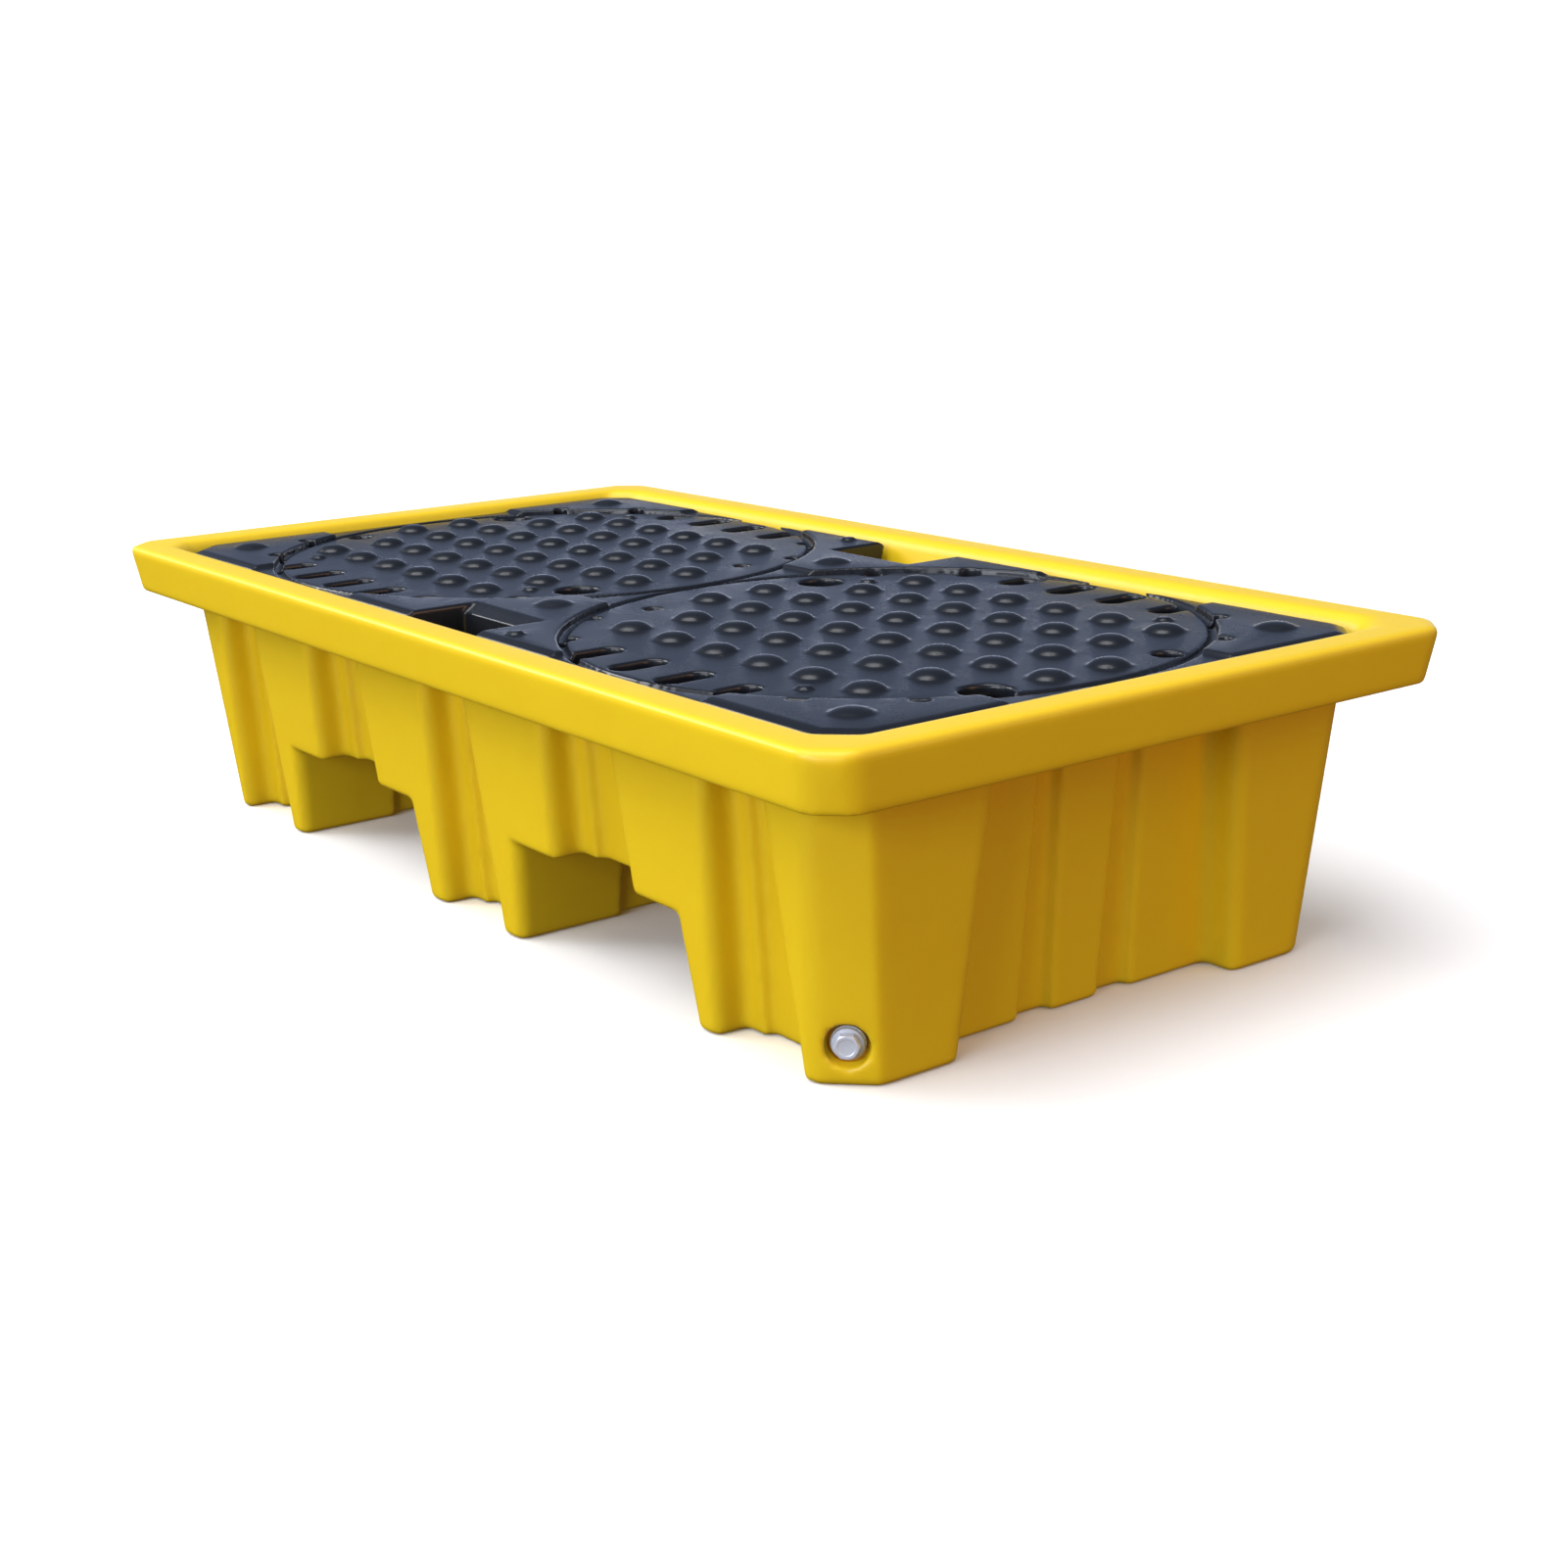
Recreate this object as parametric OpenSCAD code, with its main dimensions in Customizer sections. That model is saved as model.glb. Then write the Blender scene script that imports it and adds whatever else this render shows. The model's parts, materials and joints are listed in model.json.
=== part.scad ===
// Two-drum spill containment pallet: a moulded sump tray with fork tunnels,
// a lift-off studded deck and a hex drain plug in one corner.
// Origin on the floor under the centre, +X along the long side, the plug at the +X -Y corner.

/* [Overall] */
// Length of the rim along X
pallet_l = 1312; // [1280:1:1340]
// Width of the rim along Y
pallet_w = 702; // [690:1:720]
// Height of the rim above the floor
pallet_h = 300; // [290:5:320]
// Wall thickness of the tray
wall = 7; // [5:0.5:8]

/* [Rim] */
// Height of the outer skirt of the rim
skirt_h = 51; // [48:1:60]
// How far the skirt leans in at its bottom edge
skirt_lean = 8; // [5:1:16]
// Width of the flat top of the rim
rim_w = 44; // [42:1:46]
// Corner cut of the skirt
skirt_cut = 26; // [20:1:30]

/* [Body] */
// Half length of the body at the floor
foot_x = 579; // [575:1:585]
// Half width of the body at the floor
foot_y = 279; // [276:1:282]
// Outward lean of the end walls from floor to skirt
lean_x = 20.5; // [15:0.5:22]
// Outward lean of the side walls from floor to skirt
lean_y = 22.55; // [18:0.05:23]
// Corner cut of the body
body_cut = 38; // [34:1:42]

/* [Ribs] */
// Depth of the shelves at the edges of each side bay
bay_shelf_depth = 31; // [28:1:34]
// Depth of the groove down the middle of each side bay
bay_groove_depth = 40; // [36:1:42]
// Depth of the bay in each end wall
end_bay_depth = 35; // [30:1:38]
// Depth of the two grooves in each end bay
end_groove_depth = 46; // [40:1:48]
// How much wider each side of a bay is at the floor than at its top
bay_spread = 20; // [14:1:22]

/* [Fork tunnels] */
// Distance of each tunnel's centre line from the middle of the pallet
tunnel_x = 234; // [230:1:238]
// Height of the tunnels
tunnel_h = 100; // [90:1:105]
// Width of the tunnels at the floor
tunnel_floor_w = 288; // [280:1:292]
// Width of the tunnels at their roof
tunnel_roof_w = 260; // [250:1:264]

/* [Deck] */
// Clearance between the deck and the tray shelves
deck_gap = 0.3; // [0.3:0.1:0.8]
// Depth of the raised deck areas below the rim top
raised_drop = 5; // [4:0.5:6]
// Depth of the drum areas below the rim top
field_drop = 9; // [8:0.5:10]
// Radius of each drum circle
drum_r = 292; // [288:1:294]
// Distance of each drum circle's centre from the middle
drum_x = 295; // [293:1:297]
// Spacing of the studs both ways
stud_pitch = 68.2; // [67:0.1:68.4]
// Diameter of a stud at its base
stud_d = 38; // [34:1:40]
// Height of a stud in the drum areas
stud_h = 6; // [4:0.5:8]
// Thickness of the deck plate and of its skirt
deck_t = 5; // [4:0.5:6]

/* [Drain] */
// Height of the plug above the floor
plug_z = 35; // [33:1:37]
// Diameter of the G1/2 thread
thread_d = 20.955; // [20.955]
// Width of the hex head across its flats
hex_af = 19; // [19]
// Diameter of the pocket round the plug
pocket_d = 38; // [36:1:40]
// Depth of the pocket
pocket_depth = 12; // [11:0.5:13]

/* [Hidden] */
$fn = 64;
tray_yellow = "#E8C51E";
deck_black = "#3A404C";
zinc = "#C9CED6";
brass = "#B5924A";
seal_black = "#202020";

body_top = pallet_h - skirt_h;
// The bays run this far up behind the skirt
bay_rise = 2;
shelf_z = body_top + bay_rise + wall;
rim_x = pallet_l / 2;
rim_y = pallet_w / 2;
overshoot = 1;
sharp_to_wall = 2 - sqrt(2);

// Side bays: [distance from the middle, half width at the floor, shelf width at the floor]
side_bays = [[0, 54, 26], [236, 70, 26], [466, 56.5, 26]];
shelf_narrowing = 6;
end_bay_half = 158;
end_bay_spread = 23;
end_groove_y = 46;
end_groove_half = 18;
end_groove_spread = 7;

// The tunnels open out by this much between these distances from the middle
tunnel_bulge = 10;
tunnel_bulge_y = 165;

mouth_x = rim_x - rim_w;
mouth_y = rim_y - rim_w;
mouth_cut = 24;
channel_lean = 13;
mouth_floor_x = 600;
mouth_floor_y = 297;

deck_bottom = shelf_z + deck_gap;
deck_top = pallet_h - raised_drop;
field_top = pallet_h - field_drop;
deck_x = 602;
deck_y = 295;
deck_draft = 8;
deck_cut = 26;
edge_bevel = 8;
edge_bevel_h = 4;
field_x0 = 195;
field_x1 = 425;
field_y = 125;
groove_w = 9;
groove_d = 6;
stud_margin = 4;
corner_stud_h = 4;
stud_waist_d = 31;
stud_waist_share = 0.6;
stud_top_d = 20;
stud_sides = 32;
drain_slot_w = 28;
drain_slot_y0 = 225;
drain_slot_y1 = 280;
end_slot_y1 = 268;
big_hole_d = 46;
mid_hole_d = 28;
small_hole_d = 18;
// Grid places of the round drain holes in one half turn of the deck
big_holes = [[-1, -2], [8, -2]];
mid_holes = [[-1, -3], [-2, -4], [8, 1]];
small_holes = [[1, -2], [1, -3], [2, -4], [-7, -4], [7, -4], [-8, -3], [8, -3]];
grip_half = 65;
grip_y = 232;
grip_bevel_w = 14;
grip_bevel_d = 9;
peg_d = 13;
peg_h = 3;
// Small pegs in one half turn of the deck: in the drum areas, and on the raised areas
field_pegs = [[443, 205], [443, -205], [102, 136]];
raised_pegs = [[102, -273]];
rib_t = 4;
deck_rib_drop = 3;

// The plug's own axis runs out along the cut corner
axis_angle = -45;
corner_lean = (lean_x + lean_y) / sqrt(2) / body_top;
corner_s = (foot_x + foot_y - body_cut) / sqrt(2) + corner_lean * plug_z;
seat_s = corner_s - pocket_depth;
corner_shift = (foot_x - foot_y) / sqrt(2);
insert_l = 20;
insert_d = 30;
insert_flange_d = 35;
insert_flange_t = 3;
boss_d = 50;
boss_l = 26;
thread_clearance = 0.05;
face_gap = 0.05;
seal_t = 2.5;
seal_ring_t = 2;
seal_ring_d = 28.6;
seal_split_d = 24.4;
seal_bore_d = 21.5;
collar_d = 26;
collar_t = 3;
hex_h = 8;
shank_l = 14;

// Floor outline of a rectangle with cut corners, counter-clockwise
function cut_outline(x, y, cut, z) = [
    [x - cut, -y, z], [x, -y + cut, z], [x, y - cut, z], [x - cut, y, z],
    [-x + cut, y, z], [-x, y - cut, z], [-x, -y + cut, z], [-x + cut, -y, z]
];

// Block with straight sloping sides and cut corners, half sizes a at z0 and b at z1
module tapered_block(a, b, cut_a, cut_b, z0, z1) {
    n = 8;
    sides = [for (i = [0:n - 1]) [i, n + i, n + (i + 1) % n, (i + 1) % n]];
    polyhedron(
        points = concat(cut_outline(a[0], a[1], cut_a, z0), cut_outline(b[0], b[1], cut_b, z1)),
        faces = concat([[for (i = [0:n - 1]) i]], sides, [[for (i = [n - 1:-1:0]) n + i]])
    );
}

// Body shape moved in by inset, from z0 to z1, following the lean of the walls
module body_block(inset, z0, z1) {
    cut = body_cut - sharp_to_wall * inset;
    function half(z) = [foot_x + lean_x * z / body_top - inset, foot_y + lean_y * z / body_top - inset];
    tapered_block(half(z0), half(z1), cut, cut, z0, z1);
}

// Upright wedge that is wider at the floor, grown by grow on each side
module bay_wedge(half, spread, grow, reach) {
    top = body_top + bay_rise + grow;
    narrow = half - spread * top / body_top;
    rotate([90, 0, 0])
        linear_extrude(height = 2 * reach, center = true)
            polygon([
                [-half - grow, -overshoot], [half + grow, -overshoot],
                [narrow + grow, top], [-narrow - grow, top]
            ]);
}

module side_wedges(grow) {
    for (bay = side_bays, side = (bay[0] == 0) ? [1] : [-1, 1])
        translate([side * bay[0], 0, 0])
            bay_wedge(bay[1], bay_spread, grow, rim_y);
}

module side_groove_wedges(grow) {
    for (bay = side_bays, side = (bay[0] == 0) ? [1] : [-1, 1])
        translate([side * bay[0], 0, 0])
            bay_wedge(bay[1] - bay[2], bay_spread - shelf_narrowing, grow, rim_y);
}

module end_wedges(grow) {
    rotate([0, 0, 90])
        bay_wedge(end_bay_half, end_bay_spread, grow, rim_x);
}

module end_groove_wedges(grow) {
    for (side = [-1, 1])
        rotate([0, 0, 90])
            translate([side * end_groove_y, 0, 0])
                bay_wedge(end_groove_half, end_groove_spread, grow, rim_x);
}

// One level of a ribbed wall: what the wedges cut away outside the inner block
module bay_cut(depth, z1, long_side) {
    y_slack = long_side ? 0 : 2 * rim_y;
    x_slack = long_side ? 2 * rim_x : 0;
    intersection() {
        children();
        difference() {
            translate([-rim_x * 2, -rim_y * 2, -overshoot])
                cube([rim_x * 4, rim_y * 4, z1 + overshoot]);
            lean_slab(depth, z1, long_side);
        }
    }
}

// Endless slab between the two side walls, or the two end walls, moved in by depth
module lean_slab(depth, z1, long_side) {
    foot = long_side ? foot_y : foot_x;
    lean = long_side ? lean_y : lean_x;
    function half(z) = foot + lean * z / body_top - depth;
    rotate([90, 0, long_side ? 90 : 0])
        linear_extrude(height = 6 * rim_x, center = true)
            polygon([
                [-half(-overshoot), -overshoot], [half(-overshoot), -overshoot],
                [half(z1), z1], [-half(z1), z1]
            ]);
}

// Everything that the ribs cut out of the body, with the walls grown by grow
module rib_cuts(grow) {
    top = body_top + bay_rise + grow;
    bay_cut(bay_shelf_depth + grow, top, true) side_wedges(grow);
    bay_cut(bay_groove_depth + grow, top, true) side_groove_wedges(grow);
    bay_cut(end_bay_depth + grow, top, false) end_wedges(grow);
    bay_cut(end_groove_depth + grow, top, false) end_groove_wedges(grow);
}

module tunnel_profile(grow, widen) {
    floor_half = tunnel_floor_w / 2 + grow + widen;
    roof_half = tunnel_roof_w / 2 + grow + widen;
    polygon([
        [-floor_half, -overshoot], [floor_half, -overshoot],
        [roof_half, tunnel_h + grow], [-roof_half, tunnel_h + grow]
    ]);
}

module fork_tunnels(grow) {
    for (side = [-1, 1])
        translate([side * tunnel_x, 0, 0])
            rotate([90, 0, 0]) {
                linear_extrude(height = 3 * rim_y, center = true)
                    tunnel_profile(grow, 0);
                linear_extrude(height = 2 * (tunnel_bulge_y + grow), center = true)
                    tunnel_profile(grow, tunnel_bulge);
            }
}

// Moves its children onto the plug's axis, with +Z pointing out of the corner
module on_drain(s) {
    rotate([0, 0, axis_angle])
        translate([s, corner_shift, plug_z])
            rotate([0, 90, 0])
                children();
}

// Solid body with the rim on it, before it is hollowed
module tray_outside() {
    rim_bottom = [rim_x - skirt_lean, rim_y - skirt_lean];
    difference() {
        body_block(0, 0, body_top + overshoot);
        rib_cuts(0);
        fork_tunnels(0);
    }
    difference() {
        tapered_block(rim_bottom, [rim_x, rim_y], skirt_cut, skirt_cut, body_top, pallet_h);
        rim_channel();
    }
}

// Space inside the rim, open towards the floor
module rim_channel() {
    lean_rate = skirt_lean / skirt_h;
    z0 = body_top - overshoot;
    z1 = pallet_h - wall;
    out0 = rim_x - skirt_lean - wall - lean_rate * overshoot;
    out1 = rim_x - wall - lean_rate * wall;
    in1 = mouth_x + wall;
    in0 = in1 - channel_lean;
    side = rim_x - rim_y;
    cut = skirt_cut - sharp_to_wall * wall;
    difference() {
        tapered_block([out0, out0 - side], [out1, out1 - side], cut, cut, z0, z1);
        tapered_block([in0, in0 - side], [in1, in1 - side], cut, cut, z0 - overshoot, z1 + overshoot);
    }
}

// Space that the tray holds, from the floor plate up to the open mouth
module tray_inside() {
    difference() {
        body_block(wall, wall, shelf_z);
        rib_cuts(wall);
        fork_tunnels(wall);
        on_drain(seat_s - boss_l)
            cylinder(d = boss_d, h = 2 * boss_l);
    }
    tapered_block(
        [mouth_floor_x, mouth_floor_y], [mouth_x, mouth_y], mouth_cut, mouth_cut, shelf_z, pallet_h + 0.01
    );
}

// The whole tray moulding
module tray() {
    difference() {
        tray_outside();
        tray_inside();
        on_drain(seat_s)
            cylinder(d = pocket_d, h = 2 * pocket_depth);
        on_drain(seat_s - insert_flange_t)
            cylinder(d = insert_flange_d, h = insert_flange_t + overshoot);
        on_drain(seat_s - 2 * boss_l)
            cylinder(d = insert_d, h = 2 * boss_l);
    }
}

// Everything above the side walls
module rim_zone() {
    translate([-pallet_l, -pallet_w, body_top])
        cube([2 * pallet_l, 2 * pallet_w, pallet_h]);
}

// Ribbed tub with the fork tunnels
module sump_tub() {
    color(tray_yellow)
        difference() {
            tray();
            rim_zone();
        }
}

// Hollow rim round the mouth, with the shelves that carry the deck, one moulding with the tub
module tray_rim() {
    color(tray_yellow)
        intersection() {
            tray();
            rim_zone();
        }
}

// Threaded bush moulded into the corner wall
module drain_insert() {
    color(brass)
        difference() {
            union() {
                on_drain(seat_s - insert_l)
                    cylinder(d = insert_d, h = insert_l);
                on_drain(seat_s - insert_flange_t)
                    cylinder(d = insert_flange_d, h = insert_flange_t);
            }
            on_drain(seat_s - insert_l - overshoot)
                cylinder(d = thread_d + 2 * thread_clearance, h = insert_l + 2 * overshoot);
        }
}

// Metal ring of the bonded seal under the plug's collar
module seal_ring() {
    color(zinc)
        on_drain(seat_s + face_gap + (seal_t - seal_ring_t) / 2)
            difference() {
                cylinder(d = seal_ring_d, h = seal_ring_t);
                translate([0, 0, -overshoot])
                    cylinder(d = seal_split_d, h = seal_ring_t + 2 * overshoot);
            }
}

// Rubber lip bonded inside the seal ring
module seal_lip() {
    color(seal_black)
        on_drain(seat_s + face_gap)
            difference() {
                cylinder(d = seal_split_d, h = seal_t);
                translate([0, 0, -overshoot])
                    cylinder(d = seal_bore_d, h = seal_t + 2 * overshoot);
            }
}

// Hex plug: threaded shank, collar and hex head
module drain_plug() {
    collar_s = seat_s + 2 * face_gap + seal_t;
    color(zinc) {
        on_drain(collar_s - seal_t - shank_l)
            cylinder(d = thread_d, h = shank_l + seal_t);
        on_drain(collar_s)
            cylinder(d = collar_d, h = collar_t);
        on_drain(collar_s + collar_t)
            cylinder(d = hex_af / cos(30), h = hex_h, $fn = 6);
    }
}

// Areas of the deck that carry the drums, seen from above
module drum_field() {
    for (side = [-1, 1])
        translate([side * drum_x, 0])
            circle(r = drum_r, $fn = 128);
    for (side = [-1, 1])
        translate([side * (field_x0 + field_x1) / 2, 0])
            square([field_x1 - field_x0, 4 * deck_y], center = true);
    square([4 * deck_x, 2 * field_y], center = true);
}

module drum_grooves() {
    for (side = [-1, 1])
        translate([side * drum_x, 0, field_top - groove_d])
            difference() {
                cylinder(r = drum_r + groove_w / 2, h = pallet_h, $fn = 128);
                translate([0, 0, -overshoot])
                    cylinder(r = drum_r - groove_w / 2, h = pallet_h + 2 * overshoot, $fn = 128);
            }
}

function stud_at(i, j) = [i * stud_pitch, (j + 0.5) * stud_pitch];
function in_drum(p) = norm([abs(p[0]) - drum_x, p[1]]) < drum_r - stud_d / 2 - stud_margin;
function at_waist(p) = abs(p[0]) < 1.5 * stud_pitch && abs(p[1]) > stud_pitch;
function in_corner(p) = abs(p[0]) > 8 * stud_pitch - 1 && abs(p[1]) > 3 * stud_pitch;
function on_middle(p) = p[0] == 0 && abs(p[1]) > 2 * stud_pitch && abs(p[1]) < 3 * stud_pitch;
function is_drain_row(p) = abs(p[1]) > 3 * stud_pitch && !in_corner(p);

module stud(p, base, height) {
    translate([p[0], p[1], base - overshoot])
        rotate_extrude($fn = stud_sides)
            polygon([
                [0, 0], [stud_d / 2, 0], [stud_d / 2, overshoot],
                [stud_waist_d / 2, overshoot + stud_waist_share * height],
                [stud_top_d / 2, overshoot + height], [0, overshoot + height]
            ]);
}

module studs() {
    for (i = [-8:8], j = [-4:3]) {
        p = stud_at(i, j);
        if (in_corner(p) || on_middle(p))
            stud(p, deck_top, corner_stud_h);
        else if (in_drum(p) && !is_drain_row(p) && !at_waist(p))
            stud(p, field_top, stud_h);
    }
}

module drain_hole(p, d) {
    translate([p[0], p[1], deck_bottom - overshoot])
        cylinder(d = d, h = pallet_h);
}

// Long drain holes between the drum areas and the deck's long edges
module drain_slots() {
    for (i = [3:6], side = [-1, 1], end = [-1, 1]) {
        x = end * i * stud_pitch;
        y0 = side * (drain_slot_y0 + drain_slot_w / 2);
        y1 = side * ((i == 6 ? end_slot_y1 : drain_slot_y1) - drain_slot_w / 2);
        drain_hole([x, y0], drain_slot_w);
        drain_hole([x, y1], drain_slot_w);
        translate([x - drain_slot_w / 2, min(y0, y1), deck_bottom - overshoot])
            cube([drain_slot_w, abs(y1 - y0), pallet_h]);
    }
}

// Round drain holes where the studs would meet the drum circles
module drain_holes() {
    for (turn = [0, 180])
        rotate([0, 0, turn]) {
            for (spot = big_holes)
                drain_hole(stud_at(spot[0], spot[1]), big_hole_d);
            for (spot = mid_holes)
                drain_hole(stud_at(spot[0], spot[1]), mid_hole_d);
            for (spot = small_holes)
                drain_hole(stud_at(spot[0], spot[1]), small_hole_d);
        }
}

// Hand grips cut into both long edges of the deck, with a bevel along the inner edge
module grips() {
    for (turn = [0, 180])
        rotate([0, 0, turn]) {
            translate([-grip_half, grip_y, deck_bottom - overshoot])
                cube([2 * grip_half, 2 * grip_half, pallet_h]);
            translate([-grip_half, 0, 0])
                rotate([90, 0, 90])
                    linear_extrude(height = 2 * grip_half)
                        polygon([
                            [grip_y - grip_bevel_w, deck_top], [grip_y - grip_bevel_w, pallet_h],
                            [grip_y + overshoot, pallet_h], [grip_y + overshoot, deck_top - grip_bevel_d],
                            [grip_y, deck_top - grip_bevel_d]
                        ]);
        }
}

module pegs() {
    for (turn = [0, 180])
        rotate([0, 0, turn]) {
            for (spot = field_pegs)
                translate([spot[0], spot[1], field_top - overshoot])
                    cylinder(d = peg_d, h = overshoot + peg_h);
            for (spot = raised_pegs)
                translate([spot[0], spot[1], deck_top - overshoot])
                    cylinder(d = peg_d, h = overshoot + peg_h);
        }
}

// Plate with its raised areas, edge bevel, studs and pegs
module deck_shell() {
    difference() {
        union() {
            tapered_block(
                [deck_x - deck_draft, deck_y - deck_draft], [deck_x, deck_y],
                deck_cut, deck_cut, deck_bottom, deck_top - edge_bevel_h
            );
            tapered_block(
                [deck_x, deck_y], [deck_x - edge_bevel, deck_y - edge_bevel],
                deck_cut, deck_cut, deck_top - edge_bevel_h, deck_top
            );
        }
        translate([0, 0, field_top])
            linear_extrude(height = pallet_h)
                drum_field();
        drum_grooves();
    }
    studs();
    pegs();
}

// Hollow under the deck between its ribs
module deck_hollow() {
    inner = [deck_x - deck_draft - deck_t, deck_y - deck_draft - deck_t];
    plate_bottom = field_top - groove_d - deck_t;
    tapered_block(inner, inner, deck_cut, deck_cut, deck_bottom - overshoot, plate_bottom);
}

// Square lattice of ribs that runs between the studs, and walls round the grips
module deck_ribs() {
    z0 = deck_bottom + deck_rib_drop;
    h = field_top - groove_d - deck_t - z0 + overshoot;
    for (i = [-8:7])
        translate([(i + 0.5) * stud_pitch - rib_t / 2, -deck_y + deck_draft + 1, z0])
            cube([rib_t, 2 * (deck_y - deck_draft - 1), h]);
    for (j = [-3:3])
        translate([-deck_x + deck_draft + 1, j * stud_pitch - rib_t / 2, z0])
            cube([2 * (deck_x - deck_draft - 1), rib_t, h]);
    for (side = [-1, 1])
        translate([-grip_half - deck_t, side * grip_y - (side > 0 ? deck_t : grip_half), z0])
            cube([2 * (grip_half + deck_t), grip_half + deck_t, h]);
}

module deck_panel() {
    color(deck_black)
        difference() {
            union() {
                difference() {
                    deck_shell();
                    deck_hollow();
                }
                intersection() {
                    deck_ribs();
                    deck_hollow_bound();
                }
            }
            drain_slots();
            drain_holes();
            grips();
        }
}

// Outer limit of the ribs, so that they end inside the deck's skirt
module deck_hollow_bound() {
    inner = [deck_x - deck_draft - 1, deck_y - deck_draft - 1];
    tapered_block(inner, inner, deck_cut, deck_cut, deck_bottom, field_top - groove_d - 1);
}

sump_tub();
tray_rim();
drain_insert();
deck_panel();
seal_ring();
seal_lip();
drain_plug();
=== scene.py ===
import json
import math

import bpy
from mathutils import Matrix, Vector


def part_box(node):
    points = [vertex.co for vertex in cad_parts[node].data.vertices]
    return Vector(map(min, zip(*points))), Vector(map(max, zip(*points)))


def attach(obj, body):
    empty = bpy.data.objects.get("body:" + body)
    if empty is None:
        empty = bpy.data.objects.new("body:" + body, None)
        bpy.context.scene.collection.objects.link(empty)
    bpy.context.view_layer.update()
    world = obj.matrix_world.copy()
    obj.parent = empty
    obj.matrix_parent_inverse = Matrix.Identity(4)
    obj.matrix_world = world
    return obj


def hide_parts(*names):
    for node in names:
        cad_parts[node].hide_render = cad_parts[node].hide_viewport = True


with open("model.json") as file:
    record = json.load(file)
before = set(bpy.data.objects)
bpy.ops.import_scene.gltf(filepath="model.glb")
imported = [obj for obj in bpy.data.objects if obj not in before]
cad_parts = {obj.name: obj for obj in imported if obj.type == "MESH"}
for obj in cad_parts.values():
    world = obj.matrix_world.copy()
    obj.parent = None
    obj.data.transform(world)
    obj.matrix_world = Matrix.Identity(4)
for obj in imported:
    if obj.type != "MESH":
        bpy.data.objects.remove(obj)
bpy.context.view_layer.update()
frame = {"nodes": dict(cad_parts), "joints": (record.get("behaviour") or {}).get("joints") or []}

MM = 0.001
# Points closer than this are one point
WELD = 0.02 * MM
# Faces that meet at less than this shade as one surface on the turned pieces
SMOOTH_ANGLE = 25

# Heights that the tray's edges are told apart by, from the frame
TUB_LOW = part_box("sump_tub")[0]
RIM_LOW, RIM_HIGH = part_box("tray_rim")


# ---- Working by hand -------------------------------------------------------------------------

def clear_selection():
    bpy.ops.object.select_all(action="DESELECT")


def pick(piece):
    """Makes piece the only selected and active object."""
    clear_selection()
    piece.select_set(True)
    bpy.context.view_layer.objects.active = piece


def finish_modifier(piece, kind, **settings):
    """Adds a modifier with its settings and applies it."""
    pick(piece)
    step = piece.modifiers.new(kind.lower(), kind)
    for name, value in settings.items():
        setattr(step, name, value)
    bpy.ops.object.modifier_apply(modifier=step.name)


def triangle_count(piece):
    return sum(len(face.vertices) - 2 for face in piece.data.polygons)


def copy_of_node(node, name):
    """A welded copy of a CAD node's mesh, as a free piece to work on."""
    piece = bpy.data.objects.new(name, frame["nodes"][node].data.copy())
    bpy.context.collection.objects.link(piece)
    piece.data.materials.clear()
    pick(piece)
    bpy.ops.object.mode_set(mode="EDIT")
    bpy.ops.mesh.select_all(action="SELECT")
    bpy.ops.mesh.remove_doubles(threshold=WELD)
    bpy.ops.object.mode_set(mode="OBJECT")
    return piece


def flatten_faces(piece):
    """Joins the loose triangles of each flat face into one face."""
    pick(piece)
    bpy.ops.object.mode_set(mode="EDIT")
    bpy.ops.mesh.select_all(action="SELECT")
    bpy.ops.mesh.remove_doubles(threshold=WELD)
    bpy.ops.mesh.dissolve_limited(angle_limit=math.radians(1))
    bpy.ops.object.mode_set(mode="OBJECT")


def combine(piece, other, operation):
    """Adds other to piece, or cuts it away, and throws other away."""
    finish_modifier(piece, "BOOLEAN", operation=operation, object=other, solver="EXACT")
    bpy.data.objects.remove(other)


def soften(piece, grid, rounds, triangles):
    """Melts the edges as a mould does: an even grid of faces, relaxed, then thinned."""
    finish_modifier(piece, "REMESH", mode="VOXEL", voxel_size=grid)
    finish_modifier(piece, "SMOOTH", factor=0.5, iterations=rounds)
    finish_modifier(piece, "DECIMATE", ratio=min(1, triangles / triangle_count(piece)))
    pick(piece)
    bpy.ops.object.shade_smooth()


def edge_facts(mesh):
    """For each edge between two faces: (edge, its faces)."""
    faces_of = {}
    for face in mesh.polygons:
        for key in face.edge_keys:
            faces_of.setdefault(key, []).append(face)
    for edge in mesh.edges:
        faces = faces_of.get(tuple(sorted(edge.vertices)), [])
        if len(faces) == 2:
            yield edge, faces


def pick_faces(piece, wanted):
    """Goes into edit mode with only the faces that wanted says yes to."""
    pick(piece)
    bpy.ops.object.mode_set(mode="EDIT")
    bpy.ops.mesh.select_mode(type="FACE")
    bpy.ops.mesh.select_all(action="DESELECT")
    bpy.ops.object.mode_set(mode="OBJECT")
    for face in piece.data.polygons:
        face.select = wanted(face)
    bpy.ops.object.mode_set(mode="EDIT")


def round_edges(piece, radius_at, largest, segments):
    """Rounds each edge by the radius that radius_at gives for it."""
    mesh = piece.data
    weights = mesh.attributes.new("bevel_weight_edge", "FLOAT", "EDGE")
    for edge, faces in edge_facts(mesh):
        ends = [mesh.vertices[v].co for v in edge.vertices]
        radius = radius_at(ends[0], ends[1], faces)
        weights.data[edge.index].value = min(radius / largest, 1)
    finish_modifier(
        piece, "BEVEL", limit_method="WEIGHT", width=largest, segments=segments,
        use_clamp_overlap=False,
    )


# ---- The tray --------------------------------------------------------------------------------

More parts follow.
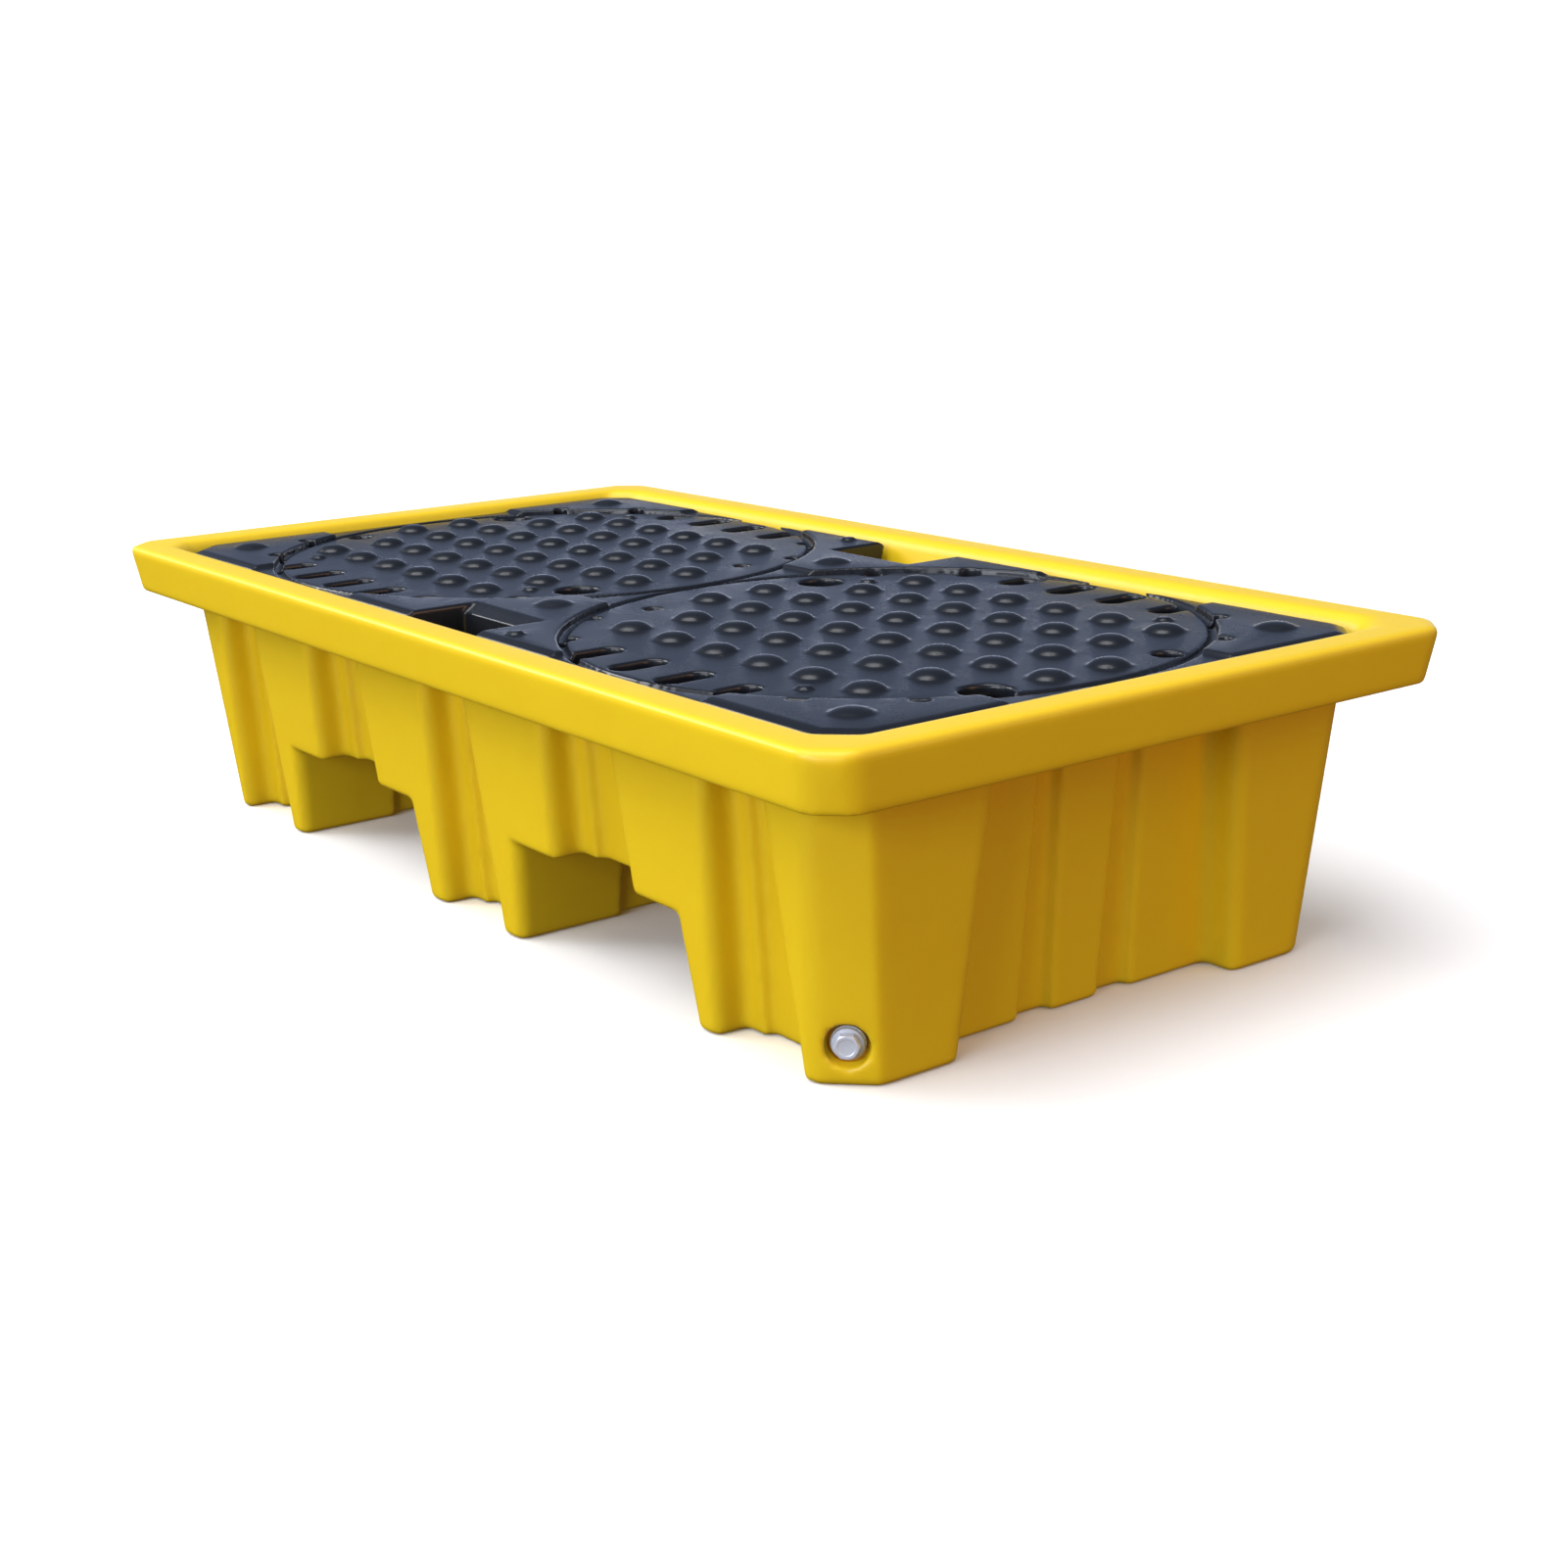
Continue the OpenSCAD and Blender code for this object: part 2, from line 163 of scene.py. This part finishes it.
LARGEST_ROUND = 12 * MM
FOOT_ROUND = 5 * MM
WALL_ROUND = 6 * MM
SKIRT_ROUND = 3 * MM
RIM_OUTER_ROUND = 6 * MM
RIM_MOUTH_ROUND = 10 * MM
SHORTEST_ROUNDED = 9 * MM
FLAT_ANGLE = math.radians(20)
# Share of the narrower face beside an edge that its rounding may take
ROOM_SHARE = 0.38
TRAY_GRID = 3.2 * MM
TRAY_TRIANGLES = 190000


def tray_edge_radius(a, b, faces):
    """How round the mould leaves the tray's edge from a to b."""
    along = b - a
    middle = (a + b) / 2
    turn = faces[0].normal.angle(faces[1].normal, 0)
    if along.length < SHORTEST_ROUNDED or turn < FLAT_ANGLE:
        return 0
    room = ROOM_SHARE * min(face.area for face in faces) / along.length
    if abs(along.z) > 0.05 * along.length:
        return min(LARGEST_ROUND, room)
    if middle.z < TUB_LOW.z + 1 * MM:
        return min(FOOT_ROUND, room)
    if middle.z > RIM_HIGH.z - 1 * MM:
        outer = max(abs(middle.x) - RIM_HIGH.x, abs(middle.y) - RIM_HIGH.y) > -10 * MM
        return min(RIM_OUTER_ROUND if outer else RIM_MOUTH_ROUND, room)
    if middle.z > RIM_LOW.z - 10 * MM:
        return min(SKIRT_ROUND, room)
    return min(WALL_ROUND, room)


def mould_tray():
    """Tub and rim as the one moulding that they are."""
    tray = copy_of_node("sump_tub", "tray_moulding")
    combine(tray, copy_of_node("tray_rim", "rim_copy"), "UNION")
    flatten_faces(tray)
    round_edges(tray, tray_edge_radius, LARGEST_ROUND, 4)
    soften(tray, TRAY_GRID, 4, TRAY_TRIANGLES)
    return tray


# ---- The deck --------------------------------------------------------------------------------

# How far the stud tops lie below the rim's top
STUD_DROPS = (1 * MM, 3 * MM)
# Width and rise of each ring of a stud's dome, from its edge inwards
STUD_STEPS = ((3.0 * MM, 0.55 * MM), (3.0 * MM, 0.3 * MM), (2.4 * MM, 0.1 * MM))
DECK_GRID = 2 * MM
DECK_TRIANGLES = 198000


def dome_studs(deck):
    """Raises the flat top of each stud into a dome, ring by ring."""
    def stud_top(face):
        drop = RIM_HIGH.z - face.center.z
        level_found = any(abs(drop - level) < 0.2 * MM for level in STUD_DROPS)
        return face.normal.z > 0.99 and level_found
    pick_faces(deck, stud_top)
    bpy.ops.mesh.dissolve_faces()
    for width, rise in STUD_STEPS:
        bpy.ops.mesh.inset(thickness=width, depth=rise, use_individual=True)
    bpy.ops.object.mode_set(mode="OBJECT")


def mould_deck():
    deck = copy_of_node("deck_panel", "deck_moulding")
    dome_studs(deck)
    soften(deck, DECK_GRID, 2, DECK_TRIANGLES)
    return deck


# ---- The drain -------------------------------------------------------------------------------
# Its pieces are made round the Z axis, with the seat at 0 and the corner's outside upwards, and
# then laid onto the plug's own axis.

PLUG_JOINT = next(joint for joint in frame["joints"] if joint["name"] == "plug_turn")
SIDES = 64
PITCH = 1.8143 * MM
THREAD_OUTER = 10.45 * MM
THREAD_CORE = 9.32 * MM
SEAL_LOW = 0.05 * MM
SEAL_THICK = 2.5 * MM
COLLAR_LOW = 2.6 * MM
COLLAR_HIGH = 5.6 * MM
HEAD_HIGH = 13.6 * MM
SHANK_LOW = -13.9 * MM
INSERT_LOW = -20 * MM
FLANGE_LOW = -3 * MM
HEX_CORNER = 10.97 * MM
COLLAR_RADIUS = 13 * MM
RING_RADIUS = 14.3 * MM
RING_WALL = 2.1 * MM
LIP_RADIUS = 12.2 * MM
LIP_WALL = 1.45 * MM
BUSH_RADIUS = 15 * MM
FLANGE_RADIUS = 17.5 * MM
THREAD_GAP = 0.06 * MM


def lay_on_drain(piece):
    """Moves a piece made round Z onto the plug's axis, its first corner pointing down."""
    out = Vector(PLUG_JOINT["axis"]).normalized()
    down = Vector((0, 0, -1))
    turn = Matrix((down, out.cross(down), out)).transposed().to_4x4()
    piece.data.transform(Matrix.Translation(Vector(PLUG_JOINT["pos_m"])) @ turn)
    return piece


def drum(name, radius, low, high, sides=SIDES, top_radius=None):
    """A round or many-sided blank between two heights, with its place in its mesh."""
    clear_selection()
    bpy.ops.mesh.primitive_cone_add(
        vertices=sides, radius1=radius, radius2=radius if top_radius is None else top_radius,
        depth=high - low, location=(0, 0, (low + high) / 2),
    )
    piece = bpy.context.object
    piece.name = name
    bpy.ops.object.transform_apply(location=True, rotation=True, scale=True)
    return piece


def bore_out(piece, wall):
    """Makes a hole right through a blank, leaving that much wall."""
    pick_faces(piece, lambda face: abs(face.normal.z) > 0.9)
    bpy.ops.mesh.inset(thickness=wall)
    bpy.ops.mesh.bridge_edge_loops()
    bpy.ops.object.mode_set(mode="OBJECT")


def smooth_by_angle(piece):
    pick(piece)
    bpy.ops.object.shade_smooth_by_angle(angle=math.radians(SMOOTH_ANGLE))


def break_edges(piece, width, segments=2):
    finish_modifier(
        piece, "BEVEL", limit_method="ANGLE", angle_limit=math.radians(SMOOTH_ANGLE),
        width=width, segments=segments,
    )
    smooth_by_angle(piece)


def thread_ridge(name, low, high, core, outer):
    """One turn-after-turn ridge of a pipe thread, closed at both ends."""
    bpy.ops.mesh.primitive_plane_add(size=1)
    ridge = bpy.context.object
    ridge.name = name
    root = core - 0.15 * MM
    half_root, half_crest = 0.46 * PITCH, 0.08 * PITCH
    corners = [(root, -half_root), (root, half_root), (outer, half_crest), (outer, -half_crest)]
    ring = [ridge.data.vertices[i] for i in ridge.data.polygons[0].vertices]
    for vertex, (radius, height) in zip(ring, corners):
        vertex.co = (radius, 0, low + height)
    finish_modifier(
        ridge, "SCREW", axis="Z", screw_offset=PITCH, iterations=round((high - low) / PITCH),
        steps=SIDES, render_steps=SIDES, use_merge_vertices=True, merge_threshold=0.001 * MM,
    )
    bpy.ops.object.mode_set(mode="EDIT")
    bpy.ops.mesh.select_all(action="DESELECT")
    bpy.ops.mesh.select_mode(type="EDGE")
    bpy.ops.mesh.select_non_manifold()
    bpy.ops.mesh.fill_holes(sides=8)
    bpy.ops.mesh.select_all(action="SELECT")
    bpy.ops.mesh.normals_make_consistent(inside=False)
    bpy.ops.object.mode_set(mode="OBJECT")
    # half a step round, so that its corners miss those of the core
    ridge.data.transform(Matrix.Rotation(math.pi / SIDES, 4, "Z"))
    return ridge


def turn_plug():
    """Hex plug with a collar and a half-inch pipe thread."""
    plug = drum("hex_plug", HEX_CORNER, COLLAR_HIGH - 0.4 * MM, HEAD_HIGH, sides=6)
    chamfer = drum("chamfer", 23.2 * MM, HEAD_HIGH - 8 * MM, HEAD_HIGH, top_radius=9.3 * MM)
    combine(plug, chamfer, "INTERSECT")
    pick_faces(plug, lambda face: face.normal.z > 0.9)
    bpy.ops.mesh.inset(thickness=2.2 * MM)
    bpy.ops.mesh.inset(thickness=0.5 * MM, depth=-0.4 * MM)
    bpy.ops.object.mode_set(mode="OBJECT")
    combine(plug, drum("collar", COLLAR_RADIUS, COLLAR_LOW, COLLAR_HIGH), "UNION")
    break_edges(plug, 0.3 * MM)
    shank = drum("shank", THREAD_CORE, SHANK_LOW, COLLAR_LOW + 0.5 * MM)
    ridge = thread_ridge("ridge", SHANK_LOW - PITCH / 2, -0.5 * MM, THREAD_CORE, THREAD_OUTER)
    combine(shank, ridge, "UNION")
    tip = drum("tip", THREAD_CORE - 0.6 * MM, SHANK_LOW, COLLAR_LOW + 1 * MM, top_radius=26 * MM)
    combine(shank, tip, "INTERSECT")
    smooth_by_angle(shank)
    combine(plug, shank, "UNION")
    return lay_on_drain(plug)


def press_seal_ring():
    inset = 0.25 * MM
    ring = drum("seal_washer", RING_RADIUS, SEAL_LOW + inset, SEAL_LOW + SEAL_THICK - inset)
    bore_out(ring, RING_WALL)
    break_edges(ring, 0.3 * MM)
    return lay_on_drain(ring)


def mould_seal_lip():
    """Rubber lip with a bead that stands above and below the ring."""
    lip = drum("seal_rubber", LIP_RADIUS, SEAL_LOW, SEAL_LOW + SEAL_THICK)
    bore_out(lip, LIP_WALL)
    break_edges(lip, 0.6 * MM, segments=4)
    return lay_on_drain(lip)


def turn_insert():
    """Brass bush with a flange, and a half-inch pipe thread inside."""
    insert = drum("threaded_bush", BUSH_RADIUS, INSERT_LOW, FLANGE_LOW + 0.2 * MM)
    combine(insert, drum("flange", FLANGE_RADIUS, FLANGE_LOW, 0), "UNION")
    break_edges(insert, 0.3 * MM)
    mouth_top = THREAD_OUTER + 0.6 * MM
    mouth = drum("mouth", THREAD_CORE - 1 * MM, -2 * MM, 0.5 * MM, top_radius=mouth_top)
    combine(insert, mouth, "DIFFERENCE")
    cutter = drum("cutter", THREAD_CORE + THREAD_GAP, INSERT_LOW - 5 * MM, 5 * MM)
    turns_down = math.ceil((SHANK_LOW - INSERT_LOW) / PITCH) + 2
    start = SHANK_LOW - PITCH / 2 - turns_down * PITCH
    tap = thread_ridge(
        "tap", start, 3 * MM, THREAD_CORE + THREAD_GAP, THREAD_OUTER + THREAD_GAP
    )
    combine(cutter, tap, "UNION")
    combine(insert, cutter, "DIFFERENCE")
    smooth_by_angle(insert)
    return lay_on_drain(insert)


# ---- Finishes --------------------------------------------------------------------------------

def linear(hex_colour):
    """An sRGB hex colour as linear RGBA."""
    channels = [int(hex_colour[i:i + 2], 16) / 255 for i in (1, 3, 5)]
    return [c / 12.92 if c <= 0.04045 else ((c + 0.055) / 1.055) ** 2.4 for c in channels] + [1]


def add(tree, kind, inputs=None, **settings):
    """Adds a node with its settings, and sets or links its inputs."""
    node = tree.nodes.new(kind)
    for name, value in settings.items():
        setattr(node, name, value)
    for name, value in (inputs or {}).items():
        if isinstance(value, bpy.types.NodeSocket):
            tree.links.new(value, node.inputs[name])
        else:
            node.inputs[name].default_value = value
    return node


def new_finish(name):
    """An empty material: (material, its node tree, its shader, object coordinates)."""
    finish = bpy.data.materials.new(name)
    finish.use_nodes = True
    tree = finish.node_tree
    shader = tree.nodes["Principled BSDF"]
    place = add(tree, "ShaderNodeTexCoord").outputs["Object"]
    return finish, tree, shader, place


def rotomoulded_polyethylene():
    # Linear low-density polyethylene powder, melted inside a heated steel mould. It gives a satin,
    # faintly see-through yellow. Its soft orange peel is drawn 3 mm across so that it shows, and
    # slow waves show where the wall cooled.
    finish, tree, shader, place = new_finish("rotomoulded_yellow_polyethylene")
    cloud = add(tree, "ShaderNodeTexNoise", {"Vector": place, "Scale": 1 / (90 * MM), "Detail": 3})
    speck = add(tree, "ShaderNodeTexNoise", {"Vector": place, "Scale": 1 / (3 * MM), "Detail": 2})
    colour = add(tree, "ShaderNodeMix", {
        "Factor": cloud.outputs["Fac"], "A": linear("#EAC81C"), "B": linear("#E5BF14"),
    }, data_type="RGBA")
    tree.links.new(colour.outputs["Result"], shader.inputs["Base Color"])
    shader.inputs["Subsurface Weight"].default_value = 0.15
    shader.inputs["Subsurface Radius"].default_value = (1.0, 0.6, 0.1)
    shader.inputs["Subsurface Scale"].default_value = 6 * MM
    gloss = add(tree, "ShaderNodeMapRange", {
        "Value": cloud.outputs["Fac"], "To Min": 0.36, "To Max": 0.46,
    })
    tree.links.new(gloss.outputs["Result"], shader.inputs["Roughness"])
    peel = add(tree, "ShaderNodeBump", {
        "Height": speck.outputs["Fac"], "Distance": 0.1 * MM, "Strength": 0.5,
    })
    waves = add(tree, "ShaderNodeBump", {
        "Height": cloud.outputs["Fac"], "Distance": 2 * MM, "Strength": 0.6,
        "Normal": peel.outputs["Normal"],
    })
    tree.links.new(waves.outputs["Normal"], shader.inputs["Normal"])
    return finish


def injection_moulded_polyethylene():
    # High-density polyethylene with carbon black, injection moulded in a spark-eroded steel tool.
    # It gives a semi-gloss blue-black with a fine even grain.
    finish, tree, shader, place = new_finish("moulded_black_polyethylene")
    grain = add(tree, "ShaderNodeTexNoise", {"Vector": place, "Scale": 1 / (2 * MM), "Detail": 3})
    flow = add(tree, "ShaderNodeTexNoise", {"Vector": place, "Scale": 1 / (70 * MM), "Detail": 3})
    colour = add(tree, "ShaderNodeMix", {
        "Factor": flow.outputs["Fac"], "A": linear("#14171D"), "B": linear("#1B1F27"),
    }, data_type="RGBA")
    tree.links.new(colour.outputs["Result"], shader.inputs["Base Color"])
    gloss = add(tree, "ShaderNodeMapRange", {
        "Value": flow.outputs["Fac"], "To Min": 0.22, "To Max": 0.32,
    })
    tree.links.new(gloss.outputs["Result"], shader.inputs["Roughness"])
    bump = add(tree, "ShaderNodeBump", {
        "Height": grain.outputs["Fac"], "Distance": 0.08 * MM, "Strength": 0.5,
    })
    tree.links.new(bump.outputs["Normal"], shader.inputs["Normal"])
    return finish


def zinc_plated_steel():
    # Mild steel, zinc electroplated and clear passivated. It gives a pale cool grey under a cloudy
    # bloom, more chalk than mirror, slightly uneven from the barrel that it was plated in.
    finish, tree, shader, place = new_finish("zinc_plated_steel")
    tumble = add(tree, "ShaderNodeTexNoise", {"Vector": place, "Scale": 1 / (4 * MM), "Detail": 4})
    colour = add(tree, "ShaderNodeMix", {
        "Factor": tumble.outputs["Fac"], "A": linear("#E6ECF8"), "B": linear("#D2DAE8"),
    }, data_type="RGBA")
    tree.links.new(colour.outputs["Result"], shader.inputs["Base Color"])
    shader.inputs["Metallic"].default_value = 0.35
    gloss = add(tree, "ShaderNodeMapRange", {
        "Value": tumble.outputs["Fac"], "To Min": 0.3, "To Max": 0.45,
    })
    tree.links.new(gloss.outputs["Result"], shader.inputs["Roughness"])
    dents = add(tree, "ShaderNodeBump", {
        "Height": tumble.outputs["Fac"], "Distance": 0.05 * MM, "Strength": 0.5,
    })
    tree.links.new(dents.outputs["Normal"], shader.inputs["Normal"])
    return finish


def turned_brass():
    # Free-cutting brass, turned from bar. It gives a warm yellow metal with fine rings from the
    # tool, drawn 0.4 mm apart so that they show.
    finish, tree, shader, place = new_finish("turned_brass")
    centred = add(tree, "ShaderNodeMapping", {
        "Vector": place, "Location": [-c for c in PLUG_JOINT["pos_m"]],
    })
    spun = add(tree, "ShaderNodeMapping", {
        "Vector": centred.outputs["Vector"], "Rotation": (0, 0, math.radians(45)),
    })
    rings = add(tree, "ShaderNodeTexWave", {
        "Vector": spun.outputs["Vector"], "Scale": 1 / (20 * 0.4 * MM), "Distortion": 0.5,
    }, wave_type="RINGS", rings_direction="X")
    patina = add(tree, "ShaderNodeTexNoise", {"Vector": place, "Scale": 1 / (6 * MM), "Detail": 3})
    colour = add(tree, "ShaderNodeMix", {
        "Factor": patina.outputs["Fac"], "A": linear("#D2AE62"), "B": linear("#B98F45"),
    }, data_type="RGBA")
    tree.links.new(colour.outputs["Result"], shader.inputs["Base Color"])
    shader.inputs["Metallic"].default_value = 1
    gloss = add(tree, "ShaderNodeMapRange", {
        "Value": patina.outputs["Fac"], "To Min": 0.22, "To Max": 0.36,
    })
    tree.links.new(gloss.outputs["Result"], shader.inputs["Roughness"])
    marks = add(tree, "ShaderNodeBump", {
        "Height": rings.outputs["Fac"], "Distance": 0.02 * MM, "Strength": 0.4,
    })
    tree.links.new(marks.outputs["Normal"], shader.inputs["Normal"])
    return finish


def nitrile_rubber():
    # Nitrile rubber, compression moulded. It gives a dull black with a faint bloom.
    finish, tree, shader, place = new_finish("moulded_nitrile_rubber")
    bloom = add(tree, "ShaderNodeTexNoise", {"Vector": place, "Scale": 1 / (3 * MM), "Detail": 3})
    colour = add(tree, "ShaderNodeMix", {
        "Factor": bloom.outputs["Fac"], "A": linear("#191919"), "B": linear("#262626"),
    }, data_type="RGBA")
    tree.links.new(colour.outputs["Result"], shader.inputs["Base Color"])
    gloss = add(tree, "ShaderNodeMapRange", {
        "Value": bloom.outputs["Fac"], "To Min": 0.5, "To Max": 0.65,
    })
    tree.links.new(gloss.outputs["Result"], shader.inputs["Roughness"])
    skin = add(tree, "ShaderNodeBump", {
        "Height": bloom.outputs["Fac"], "Distance": 0.03 * MM, "Strength": 0.5,
    })
    tree.links.new(skin.outputs["Normal"], shader.inputs["Normal"])
    return finish


# ---- Putting it together ---------------------------------------------------------------------

def fit(piece, finish, body, slot, *nodes):
    """Gives a piece its finish and its body, and hides the CAD nodes that it stands for."""
    piece.data.materials.clear()
    piece.data.materials.append(finish)
    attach(piece, body)
    if nodes:
        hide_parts(*nodes)


yellow = rotomoulded_polyethylene()
black = injection_moulded_polyethylene()
zinc = zinc_plated_steel()
brass = turned_brass()
rubber = nitrile_rubber()

fit(mould_tray(), yellow, "tray", "yellow_polyethylene", "sump_tub", "tray_rim")
fit(mould_deck(), black, "deck", "black_polyethylene", "deck_panel")
fit(turn_insert(), brass, "tray", "brass", "drain_insert")
fit(press_seal_ring(), zinc, "seal", "zinc_steel", "seal_ring")
fit(mould_seal_lip(), rubber, "seal", "rubber", "seal_lip")
fit(turn_plug(), zinc, "plug", "zinc_steel", "drain_plug")


# ---- Studio ----------------------------------------------------------------------------------

CAMERA_AZIMUTH = math.radians(53.46)
CAMERA_DOWN = math.radians(15.23)
CAMERA_ROLL = math.radians(-1.40)
CAMERA_PLACE = Vector((1.8472, -1.2689, 0.692))
LENS = 51.66
# What the room gives from below, level and above, to fill and to gloss
FILL_LOW = (0.12, 0.09, 0.06, 1)
FILL_HIGH = (0.55, 0.57, 0.61, 1)
GLOSS_LOW = (0.03, 0.03, 0.03, 1)
GLOSS_SKYLINE = (0.25, 0.31, 0.47, 1)
GLOSS_HIGH = (0.10, 0.12, 0.17, 1)
# Heights of direction that each of them grows between
FILL_RISE = (-0.15, 0.5)
SKYLINE_RISE = (-0.15, 0.1)
SKY_RISE = (0.15, 0.45)
WHITE_ROOM = (1.02, 1.02, 1.02, 1)
KEY_TOWARDS = (0.05, 0.3, -0.95)
KEY_STRENGTH = 2.05
KEY_SPREAD = 50
# Name, place, target, width, height, watts and colour of each soft box
SOFT_BOXES = (
    ("front_box", (0.9, -3.2, 1.1), (0, 0, 0.2), 2.6, 1.4, 74, "#F2F6FF"),
    ("left_box", (-2.6, -2.0, 2.0), (0, 0, 0.3), 2.4, 1.2, 70, "#FFFFFF"),
    ("back_strip", (-2.6, 3.0, 0.35), (0, 0, 0.3), 4.0, 0.5, 16, "#E8EEFF"),
    ("warm_side", (3.4, 0.6, 0.7), (0, 0, 0.2), 2.0, 1.0, 22, "#FFBC78"),
)


def place_camera():
    towards = Vector((
        math.sin(CAMERA_AZIMUTH) * math.cos(CAMERA_DOWN),
        -math.cos(CAMERA_AZIMUTH) * math.cos(CAMERA_DOWN),
        math.sin(CAMERA_DOWN),
    ))
    level = towards.to_track_quat("Z", "Y").to_matrix().to_4x4()
    turn = Matrix.Rotation(CAMERA_ROLL, 4, towards) @ level
    camera = bpy.data.objects.new("camera", bpy.data.cameras.new("camera"))
    camera.data.lens = LENS
    camera.matrix_world = Matrix.Translation(CAMERA_PLACE) @ turn
    bpy.context.collection.objects.link(camera)
    bpy.context.scene.camera = camera


def lay_floor():
    bpy.ops.mesh.primitive_plane_add(size=60)
    floor = bpy.context.object
    floor.name = "floor"
    paper = bpy.data.materials.new("floor_paper")
    paper.use_nodes = True
    shader = paper.node_tree.nodes["Principled BSDF"]
    shader.inputs["Base Color"].default_value = linear("#FCFCFC")
    shader.inputs["Roughness"].default_value = 0.9
    shader.inputs["Specular IOR Level"].default_value = 0
    floor.data.materials.append(paper)
    floor.visible_diffuse = False
    floor.visible_glossy = False


def hang_sun(name, towards, strength, spread):
    lamp = bpy.data.objects.new(name, bpy.data.lights.new(name, "SUN"))
    lamp.data.energy = strength
    lamp.data.angle = math.radians(spread)
    lamp.rotation_euler = Vector(towards).to_track_quat("-Z", "Y").to_euler()
    bpy.context.collection.objects.link(lamp)


def hang_soft_box(name, place, target, width, height, strength, colour):
    """A soft box that lights and shows in the gloss, but not to the camera."""
    lamp = bpy.data.objects.new(name, bpy.data.lights.new(name, "AREA"))
    lamp.data.shape = "RECTANGLE"
    lamp.data.size = width
    lamp.data.size_y = height
    lamp.data.energy = strength
    lamp.data.color = linear(colour)[:3]
    lamp.visible_camera = False
    lamp.location = place
    lamp.rotation_euler = (Vector(target) - Vector(place)).to_track_quat("-Z", "Y").to_euler()
    bpy.context.collection.objects.link(lamp)


def grows(tree, height, rise, low, high):
    """A colour that goes from low to high as the direction rises."""
    share = add(tree, "ShaderNodeMapRange", {
        "Value": height, "From Min": rise[0], "From Max": rise[1],
    })
    return add(tree, "ShaderNodeMix", {
        "Factor": share.outputs["Result"], "A": low, "B": high,
    }, data_type="RGBA").outputs["Result"]


def light_room():
    """White to the camera; what lights and what shines grows from dark below to a cool sky."""
    world = bpy.data.worlds.new("studio")
    bpy.context.scene.world = world
    world.use_nodes = True
    tree = world.node_tree
    ray = add(tree, "ShaderNodeLightPath")
    place = add(tree, "ShaderNodeTexCoord").outputs["Object"]
    height = add(tree, "ShaderNodeSeparateXYZ", {"Vector": place}).outputs["Z"]
    fill = grows(tree, height, FILL_RISE, FILL_LOW, FILL_HIGH)
    skyline = grows(tree, height, SKYLINE_RISE, GLOSS_LOW, GLOSS_SKYLINE)
    gloss = grows(tree, height, SKY_RISE, skyline, GLOSS_HIGH)
    unseen = add(tree, "ShaderNodeMix", {
        "Factor": ray.outputs["Is Glossy Ray"], "A": fill, "B": gloss,
    }, data_type="RGBA")
    seen = add(tree, "ShaderNodeMix", {
        "Factor": ray.outputs["Is Camera Ray"], "A": unseen.outputs["Result"], "B": WHITE_ROOM,
    }, data_type="RGBA")
    tree.links.new(seen.outputs["Result"], tree.nodes["Background"].inputs["Color"])
    hang_sun("key", KEY_TOWARDS, KEY_STRENGTH, KEY_SPREAD)
    for soft_box in SOFT_BOXES:
        hang_soft_box(*soft_box)


place_camera()
lay_floor()
light_room()
bpy.context.scene.view_settings.view_transform = "Standard"
